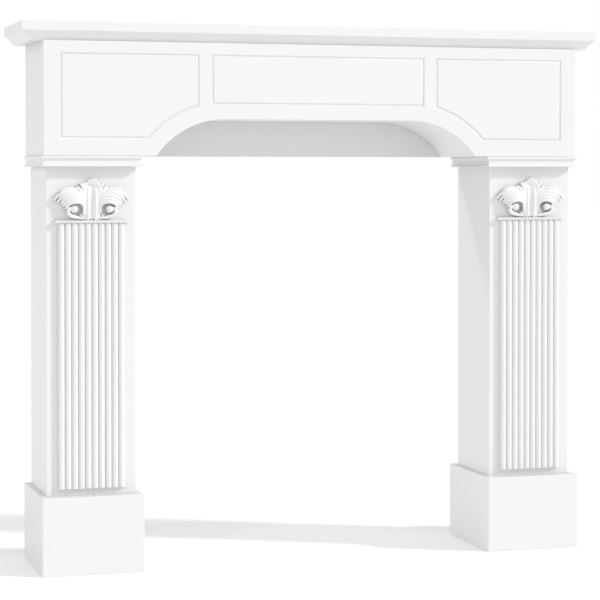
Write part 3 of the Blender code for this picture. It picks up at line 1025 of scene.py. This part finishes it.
@dataclass
class Pilaster:
    """One leg: plinth, shaft, capital, reeded board and beaded ledge."""

    shop: Workshop
    side: Side
    board: float = 0.018
    edge_round: float = 0.0012
    rim_share: float = 0.9
    reeds: int = 10
    reed_ground: float = 0.0040
    reed_steps: int = 18
    reed_ends: tuple[Point, ...] = ((0.0006, 0.0), (0.0002, 0.0002), (0.0, 0.0006))
    beads: int = 29
    bead_radius: float = 0.0030
    bead_waist: float = 0.0008
    bead_steps: int = 10
    bead_sides: int = 18
    bead_fullness: float = 0.6
    bead_seat: float = 0.9
    ledge_round: float = 0.0006
    ledge_sharp_angle: float = 50.0
    capital_lip: float = 0.0055
    capital_neck: float = 0.0143
    capital_foot: float = 0.0022
    capital_hollow: float = 0.0046
    capital_steps: int = 12
    capital_ease: float = 0.0009
    capital_lip_round: tuple[Point, ...] = ((0.0007, -0.0002), (0.0002, 0.0003), (0.0, 0.0010))
    capital_top_round: tuple[Point, ...] = ((0.0, 0.0003), (0.0001, 0.0001), (0.0003, 0.0))

    def name(self, part: str) -> str:
        """A part's name with this side's prefix."""
        return f"{self.side.prefix}_{part}"

    @property
    def centre_x(self) -> float:
        """The pilaster's centre line."""
        low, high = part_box(self.name("pilaster"))
        return (low.x + high.x) / 2

    def build_plinth(self) -> None:
        """Make the hollow block on the floor."""
        low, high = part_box(self.name("plinth"))
        blank = Blank()
        blank.block(low, high)
        blank.hollow((0, 1, 0), self.board, high.y - low.y - self.board)
        blank.ease(self.edge_round, lambda edge: not self.is_rim(edge, low, high))
        block = self.shop.loose(self.name("plinth_block"), blank)
        self.shop.enter(block, self.name("plinth"), "satin_paint", self.shop.paints.upright)

    def is_rim(self, edge: bmesh.types.BMEdge, low: Vector, high: Vector) -> bool:
        """Whether an edge is on the rim of the hollow, away from the outer faces.

        Args:
            edge: the edge.
            low: the block's lowest corner.
            high: the block's highest corner.

        Returns:
            True on the rim.
        """
        middle = (edge.verts[0].co + edge.verts[1].co) / 2
        clear = min(middle.x - low.x, high.x - middle.x, middle.z - low.z, high.z - middle.z)
        return clear > self.board * self.rim_share and middle.y > high.y - TOUCH

    def build_shaft(self) -> None:
        """Make the front board and the two side boards."""
        low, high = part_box(self.name("pilaster"))
        in_low, in_high, face = low.x + self.board, high.x - self.board, low.y + self.board
        plan = [
            (low.x, high.y),
            (low.x, low.y),
            (high.x, low.y),
            (high.x, high.y),
            (in_high, high.y),
            (in_high, face),
            (in_low, face),
            (in_low, high.y),
        ]
        blank = Blank()
        blank.skin([level(plan, low.z), level(plan, high.z)])

        def is_arris(edge: bmesh.types.BMEdge) -> bool:
            """Whether an edge runs up a front corner."""
            in_front = all(v.co.y < low.y + TOUCH for v in edge.verts)
            return in_front and edge.calc_length() > (high.x - low.x)

        blank.ease(self.edge_round, is_arris)
        shaft = self.shop.loose(self.name("pilaster_shaft"), blank)
        self.shop.enter(shaft, self.name("pilaster"), "satin_paint", self.shop.paints.upright)

    def capital_profile(self, height: float) -> list[Point]:
        """Inset and height of the capital's moulding, from the foot to the lip.

        Args:
            height: the capital's height.

        Returns:
            The profile.
        """
        points = [(0.0008, 0.0), (0.0, 0.0008), (0.0, self.capital_foot)]
        rise = self.capital_neck - self.capital_foot
        for i in range(1, self.capital_steps + 1):
            turn = math.pi / 2 * i / self.capital_steps
            z = self.capital_foot + rise * (1 - math.cos(turn))
            points.append((self.capital_hollow * math.sin(turn), z))
        lip = height - self.capital_lip
        points += [(inset, lip + z) for inset, z in self.capital_lip_round]
        return points + [(inset, height - z) for inset, z in self.capital_top_round]

    def build_capital(self) -> None:
        """Make the moulded block under the frieze."""
        low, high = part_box(self.name("capital"))
        rings = []
        for inset, height in self.capital_profile(high.z - low.z):
            left, right, front = low.x + inset, high.x - inset, low.y + inset
            corners = [(left, high.y), (left, front), (right, front), (right, high.y)]
            rings.append(level(eased(corners, self.capital_ease), low.z + height))
        blank = Blank()
        blank.skin(rings)
        block = self.shop.loose(self.name("capital_moulding"), blank)
        self.shop.enter(block, self.name("capital"), "satin_paint", self.shop.paints.level)

    def build_reeds(self) -> None:
        """Make the planted board with its row of half-round reeds."""
        low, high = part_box(self.name("reeded_panel"))
        pitch = (high.x - low.x) / self.reeds
        ground = high.y - self.reed_ground
        rise = ground - low.y
        rings = []
        heights = [(inset, low.z + z) for inset, z in self.reed_ends]
        heights += [(inset, high.z - z) for inset, z in reversed(self.reed_ends)]
        for inset, z in heights:
            plan = [(low.x + inset, high.y), (low.x + inset, ground)]
            for reed in range(self.reeds):
                middle = low.x + (reed + 0.5) * pitch
                last = reed == self.reeds - 1
                for i in range(1, self.reed_steps + (not last)):
                    turn = math.pi * i / self.reed_steps
                    x = middle - pitch / 2 * math.cos(turn)
                    plan.append((x, ground - max(0.0, rise - inset) * math.sin(turn)))
            plan += [(high.x - inset, ground), (high.x - inset, high.y)]
            rings.append(level(plan, z))
        blank = Blank()
        blank.skin(rings)
        board = self.shop.loose(self.name("reeded_board"), blank)
        paint = self.shop.paints.upright
        self.shop.enter(board, self.name("reeded_panel"), "satin_paint", paint)

    def build_ledge(self) -> None:
        """Make the small ledge with its row of beads."""
        low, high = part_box(self.name("bead_ledge"))
        centre_z = (low.z + high.z) / 2
        axis_y = low.y + self.bead_radius * self.bead_seat
        blank = Blank()
        blank.block((low.x, axis_y, low.z), (high.x, high.y, high.z))
        blank.ease(self.ledge_round)
        ledge = self.shop.loose(self.name("beaded_ledge"), blank)
        pitch = (high.x - low.x) / self.beads
        swell = self.bead_radius - self.bead_waist
        turns = [2 * math.pi * (k + 0.5) / self.bead_sides for k in range(self.bead_sides)]
        rings = []
        for i in range(self.beads * self.bead_steps + 1):
            along = math.pi * i / self.bead_steps
            radius = self.bead_waist + swell * abs(math.sin(along)) ** self.bead_fullness
            x = low.x + pitch * i / self.bead_steps
            circle = [(radius * math.cos(a), radius * math.sin(a)) for a in turns]
            rings.append([Vector((x, axis_y + y, centre_z + z)) for y, z in circle])
        row = Blank()
        row.skin(rings)
        self.shop.join(ledge, self.shop.loose(self.name("bead_row"), row))
        paint, sharp = self.shop.paints.carving, self.ledge_sharp_angle
        self.shop.enter(ledge, self.name("bead_ledge"), "carving_paint", paint, sharp)

    def build(self, acanthus: Acanthus) -> None:
        """Make every piece of this leg.

        Args:
            acanthus: the carver of the ornaments.
        """
        self.build_plinth()
        self.build_shaft()
        self.build_capital()
        self.build_reeds()
        self.build_ledge()
        acanthus.build(self.side, self.centre_x)


@dataclass(frozen=True)
class Lamp:
    """One far soft light."""

    name: str
    strength: float
    angle: float
    towards: Triple

    def hang(self) -> None:
        """Hang it in its direction from the mantelpiece."""
        light = bpy.data.lights.new(self.name, "SUN")
        light.angle = math.radians(self.angle)
        light.energy = self.strength
        lamp = bpy.data.objects.new(self.name, light)
        aim = Vector(self.towards).normalized()
        lamp.rotation_euler = aim.to_track_quat("Z", "Y").to_euler()
        bpy.context.scene.collection.objects.link(lamp)


@dataclass
class Studio:
    """Floor, light and camera."""

    lamps: tuple[Lamp, ...] = (
        Lamp("key", 2.0, 5.0, (0.754, -0.397, 0.524)),
        Lamp("rim", 0.42, 5.0, (-0.844, 0.298, 0.446)),
        Lamp("fill", 0.2, 5.0, (-0.566, -0.626, 0.536)),
        Lamp("front", 0.2, 60.0, (0.0, -0.98, 0.2)),
    )
    world_strength: float = 0.8
    backdrop_strength: float = 1.0
    floor_half: float = 40.0
    camera_place: Triple = (-1.40452, -4.59091, 0.89406)
    camera_yaw: float = 16.8744
    camera_pitch: float = 0.89957
    sensor: float = 36.0
    lens: float = 122.760
    shift: float = -0.16
    furthest: float = 200.0

    def build_floor(self) -> None:
        """Lay the floor."""
        blank = Blank()
        bmesh.ops.create_grid(blank.mesh, x_segments=1, y_segments=1, size=self.floor_half)
        mesh = bpy.data.meshes.new("floor")
        blank.mesh.to_mesh(mesh)
        blank.mesh.free()
        floor = bpy.data.objects.new("floor", mesh)
        bpy.context.scene.collection.objects.link(floor)
        mesh.materials.append(StudioFloor().make())

    def build_light(self) -> None:
        """Hang the lights and set the even surround with a white backdrop."""
        for lamp in self.lamps:
            lamp.hang()
        world = bpy.data.worlds.new("studio")
        world.use_nodes = True
        nodes, links = world.node_tree.nodes, world.node_tree.links
        surround = nodes["Background"]
        backdrop = nodes.new("ShaderNodeBackground")
        for shader, strength in (
            (surround, self.world_strength),
            (backdrop, self.backdrop_strength),
        ):
            shader.inputs["Color"].default_value = (1.0, 1.0, 1.0, 1.0)
            shader.inputs["Strength"].default_value = strength
        seen = nodes.new("ShaderNodeLightPath")
        mix = nodes.new("ShaderNodeMixShader")
        links.new(seen.outputs["Is Camera Ray"], mix.inputs[0])
        links.new(surround.outputs[0], mix.inputs[1])
        links.new(backdrop.outputs[0], mix.inputs[2])
        links.new(mix.outputs[0], nodes["World Output"].inputs["Surface"])
        bpy.context.scene.world = world
        bpy.context.scene.view_settings.view_transform = "Standard"

    def build_camera(self) -> None:
        """Set the camera where the photograph was taken from."""
        camera = bpy.data.cameras.new("camera")
        camera.sensor_width = self.sensor
        camera.lens = self.lens
        camera.shift_y = self.shift
        camera.clip_end = self.furthest
        obj = bpy.data.objects.new("camera", camera)
        obj.location = self.camera_place
        tilt, turn = math.radians(90 - self.camera_pitch), -math.radians(self.camera_yaw)
        obj.rotation_euler = (tilt, 0.0, turn)
        bpy.context.scene.collection.objects.link(obj)
        bpy.context.scene.camera = obj

    def build(self) -> None:
        """Set up the whole studio."""
        self.build_floor()
        self.build_light()
        self.build_camera()


def main() -> None:
    """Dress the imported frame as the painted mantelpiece."""
    logging.basicConfig(level=logging.INFO, format="%(name)s: %(message)s")
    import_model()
    for obj in [o for o in bpy.data.objects if o.name in ("Cube", "Light", "Camera")]:
        bpy.data.objects.remove(obj)
    shop = Workshop(Paintbox())
    MantelShelf(shop).build()
    Frieze(shop).build()
    acanthus = Acanthus(shop)
    for side in Side:
        Pilaster(shop, side).build(acanthus)
    Studio().build()
    bpy.context.view_layer.update()
    LOG.info("%d pieces", len(shop.made))


if __name__ == "__main__":
    main()
